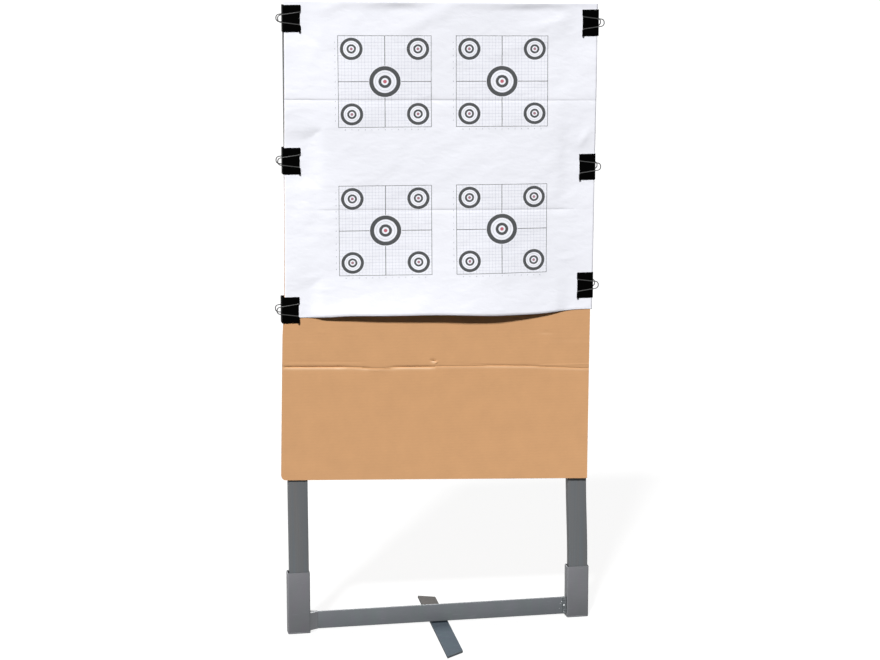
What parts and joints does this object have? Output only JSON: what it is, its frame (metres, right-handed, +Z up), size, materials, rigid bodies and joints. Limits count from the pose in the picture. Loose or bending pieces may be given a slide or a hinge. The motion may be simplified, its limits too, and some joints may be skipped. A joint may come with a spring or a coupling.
{
  "type": "target stand",
  "caption": "Free-standing target stand: a welded steel base holds upright wooden laths, with a cardboard backer and a paper grid target clipped across them by sprung clips.",
  "frame": {"origin": "on the ground, on the foot bar's underside, below the middle of the crossbar", "axes": "+Z up along the laths, +X to the right of someone who faces the target, the target faces -Y"},
  "size_m": [0.6435, 0.3868, 1.24],
  "materials": {
    "steel_paint": "grey paint, satin, over mild steel tube and flat bar",
    "weld": "painted fillet weld with a few bright spots",
    "lath_paint": "grey painted softwood lath",
    "cardboard": "plain brown corrugated board",
    "paper": "white paper printed with grids and bullseyes",
    "clip_black": "black enamelled spring steel",
    "wire": "nickel plated spring wire"
  },
  "bodies": {
    "base": {"socket_left": "steel_paint", "socket_right": "steel_paint", "socket_floor_left": "steel_paint", "socket_floor_right": "steel_paint", "crossbar": "steel_paint", "foot_bar": "steel_paint", "weld_left_front": "weld", "weld_left_rear": "weld", "weld_right_front": "weld", "weld_right_rear": "weld", "weld_foot_rear": "weld"},
    "panel": {"upright_left": "lath_paint", "upright_right": "lath_paint", "backer_board": "cardboard", "target_sheet": "paper"},
    "clip_left_top": {"clip_left_top": "clip_black"},
    "handle_left_top_front": {"handle_left_top_front": "wire"},
    "handle_left_top_rear": {"handle_left_top_rear": "wire"},
    "clip_left_middle": {"clip_left_middle": "clip_black"},
    "handle_left_middle_front": {"handle_left_middle_front": "wire"},
    "handle_left_middle_rear": {"handle_left_middle_rear": "wire"},
    "clip_left_foot": {"clip_left_foot": "clip_black"},
    "handle_left_foot_front": {"handle_left_foot_front": "wire"},
    "handle_left_foot_rear": {"handle_left_foot_rear": "wire"},
    "clip_right_top": {"clip_right_top": "clip_black"},
    "handle_right_top_front": {"handle_right_top_front": "wire"},
    "handle_right_top_rear": {"handle_right_top_rear": "wire"},
    "clip_right_middle": {"clip_right_middle": "clip_black"},
    "handle_right_middle_front": {"handle_right_middle_front": "wire"},
    "handle_right_middle_rear": {"handle_right_middle_rear": "wire"},
    "clip_right_foot": {"clip_right_foot": "clip_black"},
    "handle_right_foot_front": {"handle_right_foot_front": "wire"},
    "handle_right_foot_rear": {"handle_right_foot_rear": "wire"}
  },
  "joints": [
    {"name": "panel_lift", "type": "slide", "parent": "base", "child": "panel", "axis": [0, 0, 1], "range_m": [0, 0.14]},
    {"name": "clip_left_top_pull", "type": "slide", "parent": "panel", "child": "clip_left_top", "axis": [-1, 0, 0], "range_m": [0, 0.045]},
    {"name": "handle_left_top_front_flip", "type": "hinge", "parent": "clip_left_top", "child": "handle_left_top_front", "pos_m": [-0.27035, -0.01603, 1.2075], "axis": [0, 0, 1], "range_deg": [0, 172]},
    {"name": "handle_left_top_rear_flip", "type": "hinge", "parent": "clip_left_top", "child": "handle_left_top_rear", "pos_m": [-0.27035, 0.01172, 1.2075], "axis": [0, 0, -1], "range_deg": [0, 172]},
    {"name": "clip_left_middle_pull", "type": "slide", "parent": "panel", "child": "clip_left_middle", "axis": [-1, 0, 0], "range_m": [0, 0.045]},
    {"name": "handle_left_middle_front_flip", "type": "hinge", "parent": "clip_left_middle", "child": "handle_left_middle_front", "pos_m": [-0.27335, -0.01603, 0.9375], "axis": [0, 0, 1], "range_deg": [0, 172]},
    {"name": "handle_left_middle_rear_flip", "type": "hinge", "parent": "clip_left_middle", "child": "handle_left_middle_rear", "pos_m": [-0.27335, 0.01172, 0.9375], "axis": [0, 0, -1], "range_deg": [0, 172]},
    {"name": "clip_left_foot_pull", "type": "slide", "parent": "panel", "child": "clip_left_foot", "axis": [-1, 0, 0], "range_m": [0, 0.045]},
    {"name": "handle_left_foot_front_flip", "type": "hinge", "parent": "clip_left_foot", "child": "handle_left_foot_front", "pos_m": [-0.27812, -0.01603, 0.6495], "axis": [0, 0, 1], "range_deg": [0, 172]},
    {"name": "handle_left_foot_rear_flip", "type": "hinge", "parent": "clip_left_foot", "child": "handle_left_foot_rear", "pos_m": [-0.27812, 0.01172, 0.6495], "axis": [0, 0, -1], "range_deg": [0, 172]},
    {"name": "clip_right_top_pull", "type": "slide", "parent": "panel", "child": "clip_right_top", "axis": [1, 0, 0], "range_m": [0, 0.045]},
    {"name": "handle_right_top_front_flip", "type": "hinge", "parent": "clip_right_top", "child": "handle_right_top_front", "pos_m": [0.28042, -0.01603, 1.1935], "axis": [0, 0, -1], "range_deg": [0, 172]},
    {"name": "handle_right_top_rear_flip", "type": "hinge", "parent": "clip_right_top", "child": "handle_right_top_rear", "pos_m": [0.28042, 0.01172, 1.1935], "axis": [0, 0, 1], "range_deg": [0, 172]},
    {"name": "clip_right_middle_pull", "type": "slide", "parent": "panel", "child": "clip_right_middle", "axis": [1, 0, 0], "range_m": [0, 0.045]},
    {"name": "handle_right_middle_front_flip", "type": "hinge", "parent": "clip_right_middle", "child": "handle_right_middle_front", "pos_m": [0.27687, -0.01603, 0.914], "axis": [0, 0, -1], "range_deg": [0, 172]},
    {"name": "handle_right_middle_rear_flip", "type": "hinge", "parent": "clip_right_middle", "child": "handle_right_middle_rear", "pos_m": [0.27687, 0.01172, 0.914], "axis": [0, 0, 1], "range_deg": [0, 172]},
    {"name": "clip_right_foot_pull", "type": "slide", "parent": "panel", "child": "clip_right_foot", "axis": [1, 0, 0], "range_m": [0, 0.045]},
    {"name": "handle_right_foot_front_flip", "type": "hinge", "parent": "clip_right_foot", "child": "handle_right_foot_front", "pos_m": [0.27482, -0.01603, 0.68], "axis": [0, 0, -1], "range_deg": [0, 172]},
    {"name": "handle_right_foot_rear_flip", "type": "hinge", "parent": "clip_right_foot", "child": "handle_right_foot_rear", "pos_m": [0.27482, 0.01172, 0.68], "axis": [0, 0, 1], "range_deg": [0, 172]}
  ]
}
